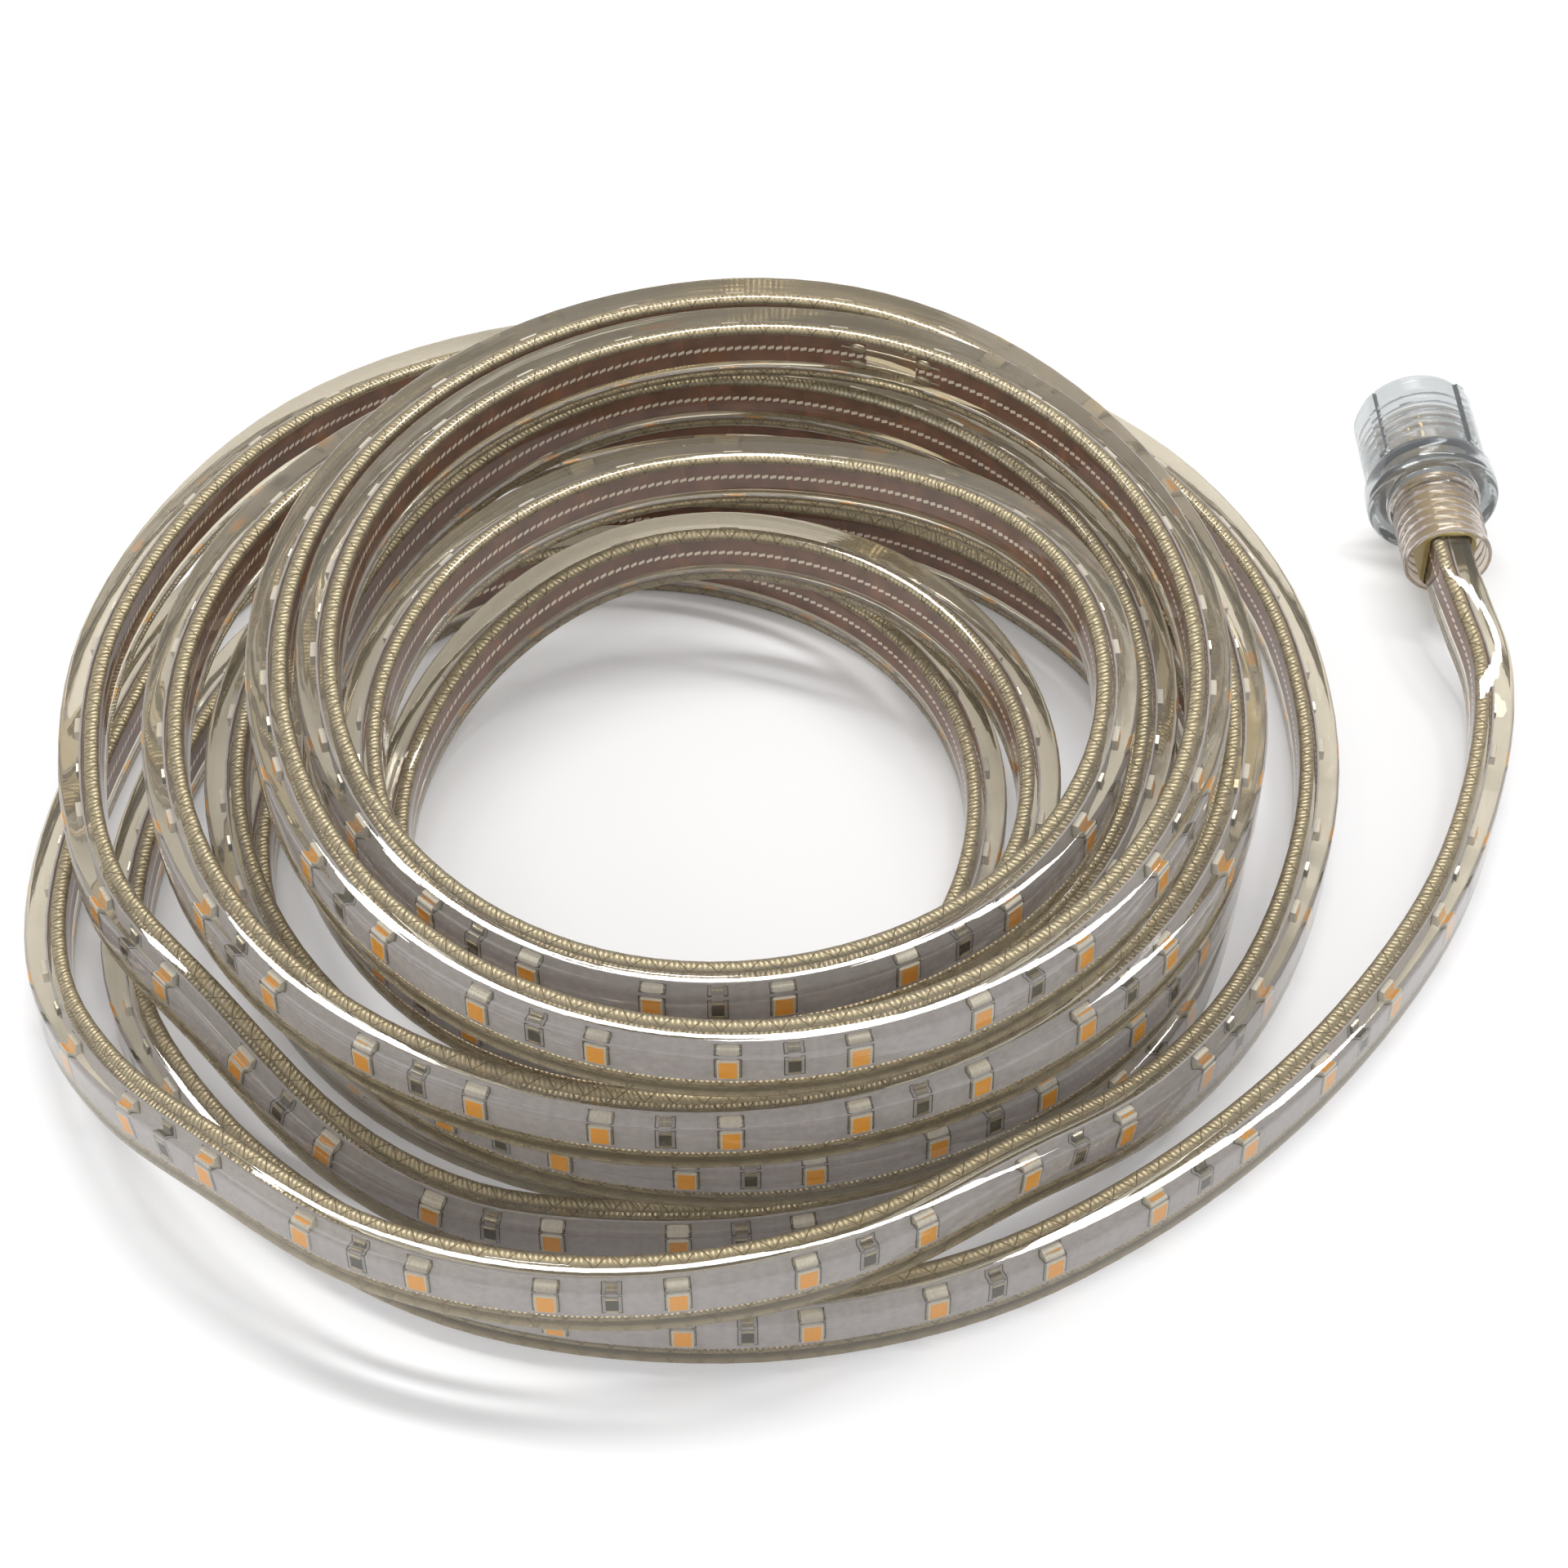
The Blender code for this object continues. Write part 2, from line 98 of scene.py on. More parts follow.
PLUG_FOOT = (104.0, 37.5, 10.5)
PLUG_AIM = (-1.5, 32.5, 0.0)
STRIP_IN_PLUG = 9.3
SEAL_MIDDLE = 18.4
RIB_ANGLES = (38, 128, 218, 308)
# the circuit's front and the wires' middle, outwards from the jacket's middle
FILM_FRONT = 0.05
WIRE_PLACE = -1.75
# how much wider than high a supply wire is, and the points round its section
WIRE_FLATNESS = 1.65
WIRE_POINTS = 18
# the middle of the circuit's back, as the way round its section
FILM_BACK_MIDDLE = 8.3
# the painted highlight along it, slanting near-white dashes that stand for a glint: how far apart they
# are, the gap between two, half their width, how far they slant and how far that moves them back
GLINT_DASH_PITCH = 1.3
GLINT_DASH_GAP = 0.3
GLINT_DASH_HALF = 0.3
GLINT_DASH_SLANT = 0.35
GLINT_DASH_SHIFT = 0.25
# how wide the mark at a pad's edge is
PAD_MARK = 0.4
# where the circuit's two lengths end at their soldered joint, along the strip, and how far from its
# middle the joint's two leads run
JOINT = (2461.4, 2469.7)
LEAD_UP = 1.5
LEAD_RADIUS = 0.2
# how far behind the circuit the leads run
LEAD_BACK = 0.22
LEAD_POINTS = 10
# a solder lump's size along, out and up, and how far it lies from the end of the circuit
LUMP = (1.5, 0.5, 0.8)
LUMP_SLIP = 1.4
# the jacket's corner radius, and how far its edges and its sides bulge
CORNER = 0.75
CROWN = 0.25
SWELL = 0.05
# the most that two points of the jacket's section lie apart
SECTION_STEP = 1.0
# the pieces that each span of the route is cut into, where it lies loose and in the coil
LOOSE_CUTS = 5
COIL_CUTS = 4

# 60 lamps to the metre
LAMP_PITCH = 1000 / 60
# the bare end that the last lamp keeps from the connector
BARE_END = 14
# the pieces of a lamp and a resistor on the film: low and high corners along, out and up, and chamfer
HOUSING = ((-1.4, 0, -1.75), (1.4, 0.78, 1.75), 0.06)
WINDOW = ((-1.14, 0.78, -1.6), (1.14, 0.82, 1.6), 0.03)
RESISTOR = ((-0.8, 0, -1.1), (0.8, 0.42, 1.1), 0.04)
# a printed corner bracket: its half height, line width, arm length and thickness
BRACKET_TALL = 1.85
BRACKET_LINE = 0.16
BRACKET_ARM = 0.45
INK = 0.02

# the connector's turned surfaces: their radii, where threads and ribs start and end, the threads' pitch
# and how high threads and ribs stand
BODY_RADIUS = 6.6
BODY_THREAD = (1.6, 12.15)
BODY_PITCH = 1.9
BODY_RIDGE = 0.33
COLLAR_RADIUS = 9.68
COLLAR_BORE = 8.9
COLLAR_THREAD = (21.0, 30.5)
COLLAR_PITCH = 2.0
COLLAR_RIDGE = 0.29
RIBS = (18.4, 31.9)
RIB_HEIGHT = 0.7
RIB_HALF = 1.0
# the radius at which a rib's angle is turned into a width
RIB_ARC = 10
# how much of a thread's turn, or of a rib's half, its slope takes
SLOPE = 0.3
PIN_UP = 2.5

# the photograph's camera, aimed at the route's own middle: degrees down, metres away, and mm of lens
CAMERA_TILT = 48.0
CAMERA_AWAY = 0.52
CAMERA_LENS = 78.75
CAMERA_SENSOR = 36

# each lamp of the studio: place and size in metres, and power in watts
KEY_LIGHT = ((0.2, 0.62, 1.15), (1.15, 0.11), 10.2)
FILL_LIGHT = ((-0.8, -0.3, 0.9), (0.8, 0.8), 3.2)
SKY_STRENGTH = 0.6
FLOOR_HALF = 3

# the four corners of a section: which way each lies, and the angle where its round begins
CORNERS = ((1, 1, 0), (-1, 1, 90), (-1, -1, 180), (1, -1, 270))


def linear(code):
    """An sRGB hex colour as the linear numbers that a shader takes."""
    channels = [int(code[place : place + 2], 16) / 255 for place in (1, 3, 5)]
    return tuple(c / 12.92 if c <= 0.04045 else ((c + 0.055) / 1.055) ** 2.4 for c in channels)


def size_property(name, description, default):
    return bpy.props.FloatProperty(
        name=name, description=description, default=default * MM, min=0.0, precision=5, subtype="DISTANCE",
        unit="LENGTH",
    )


def colour_property(name, description, code):
    return bpy.props.FloatVectorProperty(
        name=name, description=description, default=linear(code), size=3, min=0.0, max=1.0,
        subtype="COLOR",
    )


class StripSizes(bpy.types.PropertyGroup):
    height: size_property("Height", "Jacket height, standing on its edge", 10.0)
    thickness: size_property("Thickness", "Jacket thickness", 6.0)
    film_height: size_property("Circuit height", "Width of the circuit strip", 5.2)
    film_thick: size_property("Circuit thickness", "Thickness of the circuit strip", 0.25)
    wire_up: size_property("Wire height", "Supply wires, up and down from the jacket's middle", 4.05)
    wire_radius: size_property("Wire radius", "Half the height of a flat stranded supply wire", 0.56)
    pitch: size_property("Lamp pitch", "Distance between lamps along the strip", LAMP_PITCH)
    first: size_property("First lamp", "Distance of the first lamp from the capped end", 8.0)


class StripColours(bpy.types.PropertyGroup):
    pvc: colour_property("Jacket", "Clear flexible PVC", "#e6ddc7")
    mask: colour_property("Circuit front", "Solder mask on the circuit", "#b1aeb6")
    foil: colour_property("Circuit back", "Copper-brown laminate back", "#7f5340")
    phosphor: colour_property("Lamp window", "Phosphor in clear silicone", "#faa714")
    wire: colour_property("Supply wire", "Tinned copper strands", "#b4aa92")
    # painted shade: the darker gold-brown laid into the crossing grooves between the strands
    wire_groove_shade: colour_property("Wire crossings", "Gold-brown where strands cross", "#85724c")
    moulding: colour_property("Connector body", "Clear beige moulding", "#e8ded6")
    amber: colour_property("Insert", "Amber resin round the strip's end", "#a18e55")
    collar: colour_property("Collar", "Clear nylon", "#ccd0d1")
    seal: colour_property("Seal", "Dark blue-grey rubber", "#262d3a")


def add_node(tree, kind, links=(), **settings):
    """One node with its settings. Links give an input by name or number and the socket that feeds it."""
    node = tree.nodes.new(kind)
    for name, value in settings.items():
        if hasattr(node, name):
            setattr(node, name, value)
        else:
            node.inputs[name.replace("_", " ")].default_value = value
    for target, source in links:
        tree.links.new(source, node.inputs[target])
    return node


def new_material(name, colour, roughness, ior=1.5, metallic=0.0, transmission=0.0):
    """A material whose one shader has these plain values, as (material, node tree, shader)."""
    made = bpy.data.materials.new(name)
    made.use_nodes = True
    tree = made.node_tree
    tree.nodes.clear()
    shader = add_node(
        tree, "ShaderNodeBsdfPrincipled", Base_Color=(*colour, 1), Roughness=roughness, Metallic=metallic,
    )
    if not metallic:
        shader.inputs["IOR"].default_value = ior
    shader.inputs["Transmission Weight"].default_value = transmission
    add_node(tree, "ShaderNodeOutputMaterial", links=[("Surface", shader.outputs["BSDF"])])
    return made, tree, shader


def add_bump(tree, shader, height, strength, distance):
    bump = add_node(
        tree, "ShaderNodeBump", links=[("Height", height)], Strength=strength, Distance=distance * MM,
    )
    tree.links.new(bump.outputs["Normal"], shader.inputs["Normal"])


def clear_pvc(colours):
    """Extruded soft PVC: clear and glossy, with drawn lines along it from the die and a slow waviness
    from being coiled."""
    made, tree, shader = new_material("extruded_clear_pvc", colours.pvc, 0.0, 1.53, 0, 0.93)
    way = add_node(tree, "ShaderNodeUVMap", uv_map="strip")
    # die lines 0.5 mm apart across the strip and 40 mm long
    drawn = add_node(
        tree, "ShaderNodeMapping", links=[("Vector", way.outputs["UV"])], Scale=(25.0, 2000.0, 1.0),
    )
    lines = add_node(
        tree, "ShaderNodeTexNoise", links=[("Vector", drawn.outputs["Vector"])], Scale=1.0,
        Detail=0.0,
    )
    # waves 6 mm long
    place = add_node(tree, "ShaderNodeTexCoord")
    waves = add_node(
        tree, "ShaderNodeTexNoise", links=[("Vector", place.outputs["Object"])], Scale=160.0,
        Detail=0.0,
    )
    height = add_node(
        tree, "ShaderNodeMath", links=[(0, lines.outputs["Fac"]), (1, waves.outputs["Fac"])],
        operation="ADD",
    )
    add_bump(tree, shader, height.outputs["Value"], 0.2, 0.05)
    return made


def solder_mask(colours):
    """Pale solder mask on flexible laminate: satin, with a soft grain of 1 mm patches."""
    made, tree, shader = new_material("laminate_solder_mask", colours.mask, 0.42)
    shader.inputs["Specular IOR Level"].default_value = 0.2
    place = add_node(tree, "ShaderNodeTexCoord")
    grain = add_node(
        tree, "ShaderNodeTexNoise", links=[("Vector", place.outputs["Object"])], Scale=900.0, Detail=3.0,
    )
    tint = add_node(tree, "ShaderNodeValToRGB", links=[("Fac", grain.outputs["Fac"])])
    shade = [0.86 * part for part in colours.mask]
    tint.color_ramp.elements[0].position, tint.color_ramp.elements[0].color = 0.35, (*shade, 1)
    tint.color_ramp.elements[1].position, tint.color_ramp.elements[1].color = 0.62, (*colours.mask, 1)
    tree.links.new(tint.outputs["Color"], shader.inputs["Base Color"])
    add_bump(tree, shader, grain.outputs["Fac"], 0.25, 0.03)
    return made


def laminate_back(colours):
    """Copper foil under brown laminate film: dark and half glossy, uneven in patches 4 mm long, with a
    painted highlight of near-white slanting dashes along its middle, standing for a glint, and, at the
    lamps' pitch, the edges of their copper pads."""
    made, tree, shader = new_material("laminate_copper_back", colours.foil, 0.4)
    shader.inputs["Specular IOR Level"].default_value = 0.1
    way = add_node(tree, "ShaderNodeUVMap", uv_map="strip")
    split = add_node(tree, "ShaderNodeSeparateXYZ", links=[("Vector", way.outputs["UV"])])
    run, across = split.outputs["X"], split.outputs["Y"]

    def step(operation, first, second=None, third=None):
        node = add_node(tree, "ShaderNodeMath", operation=operation)
        for place, value in enumerate((first, second, third)):
            if isinstance(value, float):
                node.inputs[place].default_value = value
            elif value is not None:
                tree.links.new(value, node.inputs[place])
        return node.outputs["Value"]

    # painted highlight: the mask thread holds slanting near-white dashes, 1.3 mm apart and 0.6 mm wide, that
    # stand for a glint
    glint_dash_phase = step("MODULO", run, GLINT_DASH_PITCH * MM)
    swing = step("MULTIPLY_ADD", glint_dash_phase, GLINT_DASH_SLANT, FILM_BACK_MIDDLE * MM - GLINT_DASH_SHIFT * MM)
    thread = step("LESS_THAN", step("ABSOLUTE", step("SUBTRACT", across, swing)), GLINT_DASH_HALF * MM)
    thread = step("MULTIPLY", thread, step("GREATER_THAN", glint_dash_phase, GLINT_DASH_GAP * MM))
    # pad edges that lean a little across the film
    slant = step("MULTIPLY_ADD", across, 0.12, run)
    pads = step("LESS_THAN", step("MODULO", slant, LAMP_PITCH * MM), PAD_MARK * MM)
    place = add_node(tree, "ShaderNodeTexCoord")
    patch = add_node(
        tree, "ShaderNodeTexNoise", links=[("Vector", place.outputs["Object"])], Scale=250.0, Detail=4.0,
    )
    tint = add_node(tree, "ShaderNodeValToRGB", links=[("Fac", patch.outputs["Fac"])])
    low = [0.75 * part for part in colours.foil]
    high = [1.4 * part for part in colours.foil]
    tint.color_ramp.elements[0].position, tint.color_ramp.elements[0].color = 0.35, (*low, 1)
    tint.color_ramp.elements[1].position, tint.color_ramp.elements[1].color = 0.7, (*high, 1)
    faint = step("MULTIPLY", pads, step("SUBTRACT", patch.outputs["Fac"], 0.1))
    marked = add_node(
        tree, "ShaderNodeMixRGB", links=[("Fac", faint), ("Color1", tint.outputs["Color"])],
        Color2=(*linear("#b06a34"), 1),
    )
    # painted highlight: the dashes are mixed in near white over the laminate's colour
    glint_painted = add_node(
        tree, "ShaderNodeMixRGB", links=[("Fac", thread), ("Color1", marked.outputs["Color"])],
        Color2=(*linear("#fff6ea"), 1),
    )
    tree.links.new(glint_painted.outputs["Color"], shader.inputs["Base Color"])
    add_bump(tree, shader, step("ADD", patch.outputs["Fac"], thread), 0.2, 0.05)
    return made


def speckled(name, colour, roughness, metallic, size, depth):
    """A plain finish with a fine unevenness of the given size in mm, in both colour and surface."""
    made, tree, shader = new_material(name, colour, roughness, 1.5, metallic)
    place = add_node(tree, "ShaderNodeTexCoord")
    grain = add_node(
        tree, "ShaderNodeTexNoise", links=[("Vector", place.outputs["Object"])], Scale=1000.0 / size,
        Detail=2.0,
    )
    tint = add_node(tree, "ShaderNodeValToRGB", links=[("Fac", grain.outputs["Fac"])])
    shade = [0.8 * part for part in colour]
    tint.color_ramp.elements[0].position, tint.color_ramp.elements[0].color = 0.3, (*shade, 1)
    tint.color_ramp.elements[1].position, tint.color_ramp.elements[1].color = 0.65, (*colour, 1)
    tree.links.new(tint.outputs["Color"], shader.inputs["Base Color"])
    add_bump(tree, shader, grain.outputs["Fac"], 0.3, depth)
    return made


def lamp_housing(colours):
    """Moulded white lamp housing: satin, with a grain of 0.3 mm."""
    return speckled("moulded_lamp_housing", linear("#d2cdc3"), 0.35, 0.0, 0.3, 0.01)


def phosphor(colours):
    """Phosphor in clear silicone: saturated orange-yellow, glossy, with grains of 0.2 mm."""
    return speckled("phosphor_silicone", colours.phosphor, 0.22, 0.0, 0.2, 0.01)


def resistor_body(colours):
    """Glazed thick-film resistor: near black, with a thin uneven glaze."""
    return speckled("glazed_resistor", linear("#2b2a27"), 0.25, 0.0, 0.5, 0.02)


def legend_ink(colours):
    """Dark screen-printed corner marks: matt, broken at their edges."""
    return speckled("printed_marks", linear("#4b4846"), 0.6, 0.0, 0.15, 0.005)


def tinned_metal(colours):
    """Tinned solder ends: pale, with soft reflections and a wetted, lumpy surface."""
    return speckled("tinned_solder", linear("#d6d1c3"), 0.28, 1.0, 0.4, 0.06)


def stranded_copper(colours):
    """Stranded tinned copper: pale taupe-silver and half glossy, with two sets of grooves that cross every
    3.9 mm where its strands wind round each other, painted darker gold-brown as shade in them. Between them
    run strands 0.75 mm apart, coarser than the real ones so that they show."""
    made, tree, shader = new_material("stranded_tinned_copper", colours.wire, 0.42, metallic=0.85)
    way = add_node(tree, "ShaderNodeUVMap", uv_map="strip")
    split = add_node(tree, "ShaderNodeSeparateXYZ", links=[("Vector", way.outputs["UV"])])
    found = []
    # how far each set of lines leans, how far apart they are and how wide each is
    for lean, turn, width in ((0.8, 3.9, 0.09), (-0.8, 3.9, 0.09), (0.45, 0.75, 0.28)):
        slant = add_node(
            tree, "ShaderNodeMath", links=[(0, split.outputs["Y"]), (2, split.outputs["X"])],
            operation="MULTIPLY_ADD",
        )
        slant.inputs[1].default_value = lean
        wave = add_node(tree, "ShaderNodeMath", links=[(0, slant.outputs["Value"])], operation="PINGPONG")
        wave.inputs[1].default_value = turn / 2 * MM
        line = add_node(
            tree, "ShaderNodeMapRange", links=[("Value", wave.outputs["Value"])],
            interpolation_type="SMOOTHSTEP",
        )
        line.inputs["From Min"].default_value = width * MM * 0.3
        line.inputs["From Max"].default_value = width * MM * 1.6
        found.append(line.outputs["Result"])
    both = add_node(
        tree, "ShaderNodeMath", links=[(0, found[0]), (1, found[1])], operation="MINIMUM"
    )
    # painted shade: the two crossing sets of grooves take the darker gold-brown colour
    tint = add_node(
        tree, "ShaderNodeMixRGB", links=[("Fac", both.outputs["Value"])],
        Color1=(*colours.wire_groove_shade, 1), Color2=(*colours.wire, 1),
    )
    tree.links.new(tint.outputs["Color"], shader.inputs["Base Color"])
    height = add_node(
        tree, "ShaderNodeMath", links=[(0, both.outputs["Value"]), (1, found[2])], operation="ADD"
    )
    add_bump(tree, shader, height.outputs["Value"], 0.7, 0.13)
    return made


def clear_moulding(name, colour, clear, roughness, size, ior=1.5):
    """A milky clear moulded piece with a faint orange-peel surface whose dimples have this size in mm."""
    made, tree, shader = new_material(name, colour, roughness, ior, 0, clear)
    place = add_node(tree, "ShaderNodeTexCoord")
    peel = add_node(
        tree, "ShaderNodeTexNoise", links=[("Vector", place.outputs["Object"])], Scale=1000.0 / size,
        Detail=2.0,
    )
    add_bump(tree, shader, peel.outputs["Fac"], 0.3, 0.08)
    return made


def beige_body(colours):
    """Injection-moulded clear beige: soft gloss, a little milky and pinkish."""
    return clear_moulding("moulded_clear_beige", colours.moulding, 0.93, 0.1, 2.2)


def amber_resin(colours):
    """Cast amber resin: cloudy, half glossy, yellow-brown."""
    return clear_moulding("cast_amber_resin", colours.amber, 0.2, 0.25, 1.6, 1.54)


def clear_nylon(colours):
    """Injection-moulded clear nylon: cool, glossy, a little milky, with faint flow marks."""
    return clear_moulding("moulded_clear_nylon", colours.collar, 0.94, 0.06, 3.0, 1.53)


def seal_rubber(colours):
    """Moulded dark rubber: satin, with a fine mould grain of 0.2 mm."""
    return speckled("moulded_seal_rubber", colours.seal, 0.5, 0.0, 0.2, 0.01)


def plated_brass(colours):
    """Turned brass, plated: bright, with turning marks 0.15 mm apart along the pin."""
    return speckled("turned_plated_brass", linear("#e0cfa0"), 0.2, 1.0, 0.15, 0.01)


def ease(start, end, part):
    return start + (end - start) * (1 - math.cos(math.pi * part)) / 2


def coil_points():
    """The coil as one long spiral whose four sides are eased into each other."""
    across, along, height = [COIL_RIGHT], [COIL_FRONT], [FLOOR_LEVEL]
    for back, left, front, right, *heights in TURNS:
        along += [back, front]
        across += [left, right]
        height += heights
    along.append(COIL_BACK)
    points = []
    for step in range(len(TURNS) * TURN_STEPS + 1):
        quarter = step * 4 / TURN_STEPS
        row = []
        for extremes, at in ((across, quarter / 2), (along, (quarter + 1) / 2), (height, quarter)):
            first = min(int(at), len(extremes) - 2)
            row.append(ease(extremes[first], extremes[first + 1], at - first))
        points.append(tuple(row))
    return points


def smoothed(points, cuts):
    """A Catmull-Rom line through the points, each span cut into as many pieces as cuts says."""
    rows = [Vector(point) for point in points]
    rows = [2 * rows[0] - rows[1], *rows, 2 * rows[-1] - rows[-2]]
    line = []
    for index in range(1, len(rows) - 2):
        before, here, there, after = rows[index - 1 : index + 3]
        for cut in range(cuts[index - 1]):
            t = cut / cuts[index - 1]
            at = 2 * here + (there - before) * t + (2 * before - 5 * here + 4 * there - after) * t**2
            line.append((at + (3 * here - before - 3 * there + after) * t**3) / 2)
    line.append(rows[-2])
    for at in line:
        at.z = max(at.z, FLOOR_LEVEL)
    return line


def plug_axis():
    return Vector(PLUG_AIM).normalized()


def route_shift():
    """From the route's own middle to the part's origin, read from where the seal ring lies."""
    low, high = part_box("seal_ring")
    middle = (Vector(low) + Vector(high)) / 2
    return middle - (Vector(PLUG_FOOT) + SEAL_MIDDLE * plug_axis()) * MM


def strip_line():
    """The strip's centre line in the part's frame, in metres."""
    coil = coil_points()
    foot, axis = Vector(PLUG_FOOT), plug_axis()
    points = [*OUTER, *coil, *TAIL, tuple(foot - 4 * axis), tuple(foot + STRIP_IN_PLUG * axis)]
    first, last = len(OUTER), len(OUTER) + len(coil) - 2
    cuts = [COIL_CUTS if first <= index <= last else LOOSE_CUTS for index in range(len(points) - 1)]
    shift = route_shift()
    return [at * MM + shift for at in smoothed(points, cuts)]


class Route:
    """The centre line with its running length and, at each point, the ways out of the coil and up."""

    def __init__(self, line):
        self.line = line
        self.run = [0.0]
        for here, there in zip(line, line[1:]):
            self.run.append(self.run[-1] + (there - here).length)
        self.length = self.run[-1]
        self.frames = []
        for index in range(len(line)):
            along = (line[min(index + 1, len(line) - 1)] - line[max(index - 1, 0)]).normalized()
            out = along.cross(Vector((0, 0, 1))).normalized()
            self.frames.append((along, out, out.cross(along).normalized()))

    def at(self, distance):
        """(point, along, out, up) at a distance along the strip."""
        low, high = 0, len(self.run) - 1
        while high - low > 1:
            middle = (low + high) // 2
            if self.run[middle] <= distance:
                low = middle
            else:
                high = middle
        part = (distance - self.run[low]) / (self.run[high] - self.run[low])
        axes = [a.lerp(b, part).normalized() for a, b in zip(self.frames[low], self.frames[high])]
        return (self.line[low].lerp(self.line[high], part), *axes)


def finish_mesh(name, work, materials, smooth=True, place=None):
    mesh = bpy.data.meshes.new(name)
    work.to_mesh(mesh)
    work.free()
    if place:
        mesh.transform(place)
    for material in materials:
        mesh.materials.append(material)
    if smooth:
        mesh.shade_smooth()
        mesh.set_sharp_from_angle(angle=math.radians(38))
    obj = bpy.data.objects.new(name, mesh)
    bpy.context.scene.collection.objects.link(obj)
    return obj


def rounded(reach, half, corner, crown, swell, longest):
    """The jacket's section as (out, up) points: a rectangle with round corners whose top and bottom rise
    by crown and whose sides swell a little."""
    plain = []
    for x, y, turn in CORNERS:
        for step in range(7):
            angle = math.radians(turn + 15 * step)
            plain.append(
                (
                    x * (reach - swell - corner) + corner * math.cos(angle),
                    y * (half - crown - corner) + corner * math.sin(angle),
                )
            )
    section = []
    for (u0, v0), (u1, v1) in zip(plain, [*plain[1:], plain[0]]):
        pieces = math.ceil(math.hypot(u1 - u0, v1 - v0) / longest)
        for piece in range(pieces):
            u, v = u0 + (u1 - u0) * piece / pieces, v0 + (v1 - v0) * piece / pieces
            section.append(
                (
                    u * (1 + swell / (reach - swell) * (1 - (v / half) ** 2)),
                    v * (1 + crown / (half - crown) * (1 - (u / reach) ** 2)),
                )
            )
    return section


def add_sweep(work, route, section, start=0, end=None, slots=None):
    """A closed section of (out, up) points swept along the route, with both ends filled. UV is length run
    and way round, in m."""
    layer = work.loops.layers.uv.get("strip") or work.loops.layers.uv.new("strip")
    count = len(section)
    rings = []
    indices = range(start, len(route.line) if end is None else end)
    for index in indices:
        _, out, up = route.frames[index]
        middle = route.line[index]
        rings.append([work.verts.new(middle + out * u + up * v) for u, v in section])
    around = [0.0]
    for (u0, v0), (u1, v1) in zip(section, [*section[1:], section[0]]):
        around.append(around[-1] + math.hypot(u1 - u0, v1 - v0))
    for step, index in enumerate(indices[:-1]):
        for side in range(count):
            after = (side + 1) % count
            corners = [
                (rings[step][side], (route.run[index], around[side])),
                (rings[step + 1][side], (route.run[index + 1], around[side])),
                (rings[step + 1][after], (route.run[index + 1], around[side + 1])),
                (rings[step][after], (route.run[index], around[side + 1])),
            ]
            face = work.faces.new([corner for corner, _ in corners])
            for loop, (_, place) in zip(face.loops, corners):
                loop[layer].uv = place
            if slots:
                face.material_index = slots[side]
    work.faces.new(rings[0])
    work.faces.new(list(reversed(rings[-1])))


def oval(place, up, half_wide, half_high, points):
    """A wire's section as (out, up) points."""
    angles = [math.tau * step / points for step in range(points)]
    return [(place + half_wide * math.cos(a), up + half_high * math.sin(a)) for a in angles]


def skin(work, rings, loop=False):
    """Faces between each ring of points and the next, with the first and last ring filled or joined."""
    made = [[work.verts.new(point) for point in ring] for ring in rings]
    pairs = list(zip(made, made[1:]))
    if loop:
        pairs.append((made[-1], made[0]))
    for under, over in pairs:
        for side in range(len(under)):
            after = (side + 1) % len(under)
            work.faces.new((under[side], under[after], over[after], over[side]))
    if not loop:
        work.faces.new(list(reversed(made[0])))
        work.faces.new(made[-1])


def lathe(profile, steps=96, swell=None):
    """Rings for skin from a profile of (radius, height) in mm; swell adds to a radius by angle and place."""
    rings = []
    for radius, height in profile:
        ring = []
        for step in range(steps):
            angle = math.tau * step / steps
            reach = radius + (swell(math.degrees(angle), radius, height) if swell else 0.0)
            ring.append(Vector((reach * math.cos(angle), reach * math.sin(angle), height)) * MM)
        rings.append(ring)
    return rings


def box_ring(half_x, half_y, height, corner, steps=8):
    """A ring round a rectangle with round corners, for skin, in mm."""
    ring = []
    for x, y, turn in CORNERS:
        for step in range(steps + 1):
            angle = math.radians(turn + 90 * step / steps)
            ring.append(
                Vector(
                    (
                        x * (half_x - corner) + corner * math.cos(angle),
                        y * (half_y - corner) + corner * math.sin(angle), height,
                    )
                ) * MM
            )
    return ring


def let_light_in(piece):
    """A clear piece neither shades what is in it or under it nor stands in the way of light from there."""
    piece.visible_shadow = False
    piece.visible_diffuse = False


CACHE = {}


def scene_route():
    """The strip's route, worked out once for all pieces."""
    if "route" not in CACHE:
        CACHE["route"] = Route(strip_line())
    return CACHE["route"]


def frame_on(foot, axis):
    """The place whose local Z runs along the axis, with local Y up."""
    side = Vector((0, 0, 1)).cross(axis).normalized()
    turn = Matrix((side, axis.cross(side), axis)).transposed().to_4x4()
    return Matrix.Translation(foot) @ turn


def plug_place():
    return frame_on(Vector(PLUG_FOOT) * MM + route_shift(), plug_axis())


def finish_turned(name, rings, material, place, body, node, loop=False):
    """A piece of the connector or the cap, which stands for its node."""
    work = bmesh.new()
    skin(work, rings, loop)
    bmesh.ops.recalc_face_normals(work, faces=work.faces)
    made = finish_mesh(name, work, [material], place=place)
    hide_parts(node)
    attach(made, body)
    return made


def ridge(turn):
    """How high a rounded thread stands, from 0 to 1, at this part of its turn."""
    return max(0.0, 1 - abs(turn % 1.0 - 0.5) / SLOPE)


